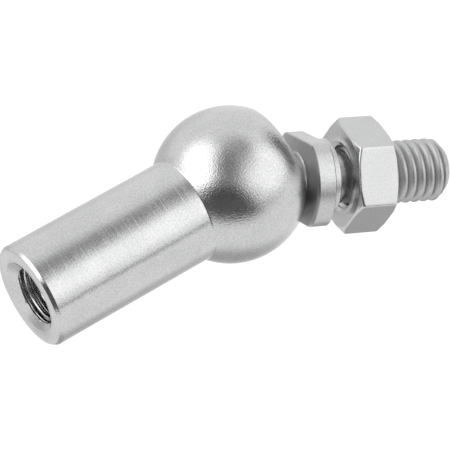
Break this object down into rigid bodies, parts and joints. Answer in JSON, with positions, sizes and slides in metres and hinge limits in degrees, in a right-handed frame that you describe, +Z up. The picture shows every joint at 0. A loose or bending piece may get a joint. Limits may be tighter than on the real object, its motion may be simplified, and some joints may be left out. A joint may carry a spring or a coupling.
{
  "type": "axial ball joint rod end",
  "caption": "Straight rod end ball joint: a round socket on a tapped neck holds a ball stud with a flatted collar and a threaded shank that carries a lock nut.",
  "frame": {"origin": "centre of the neck's open face, on the axis of its tapped hole", "axes": "+X along the housing from the open neck face to the ball, +Z up"},
  "size_m": [0.0577, 0.023, 0.0212],
  "materials": {
    "housing_steel": "satin zinc plate with a fine grain",
    "stud_steel": "satin zinc plate, turned",
    "nut_steel": "bright zinc plate",
    "bearing_bronze": "machined bearing bronze, lightly greased"
  },
  "bodies": {
    "housing": {"socket_housing": "housing_steel"},
    "bearing_ring": {"front_bearing_ring": "bearing_bronze"},
    "bearing_cup": {"rear_bearing_cup": "bearing_bronze"},
    "stud": {"ball_stud": "stud_steel"},
    "nut": {"hex_nut": "nut_steel"}
  },
  "joints": [
    {"name": "swivel_direction", "type": "hinge", "parent": "housing", "child": "bearing_ring", "pos_m": [0.03, 0, 0], "axis": [1, 0, 0], "continuous": true},
    {"name": "stud_tilt", "type": "hinge", "parent": "bearing_ring", "child": "bearing_cup", "pos_m": [0.03, 0, 0], "axis": [0, 0.5779, -0.8161], "range_deg": [-48.1, 1.9]},
    {"name": "stud_spin", "type": "hinge", "parent": "bearing_cup", "child": "stud", "pos_m": [0.03, 0, 0], "axis": [0.9198, -0.3202, -0.2267], "continuous": true},
    {"name": "nut_travel", "type": "slide", "parent": "stud", "child": "nut", "axis": [0.9198, -0.3202, -0.2267], "range_m": [-0.00125, 0.00875]}
  ]
}
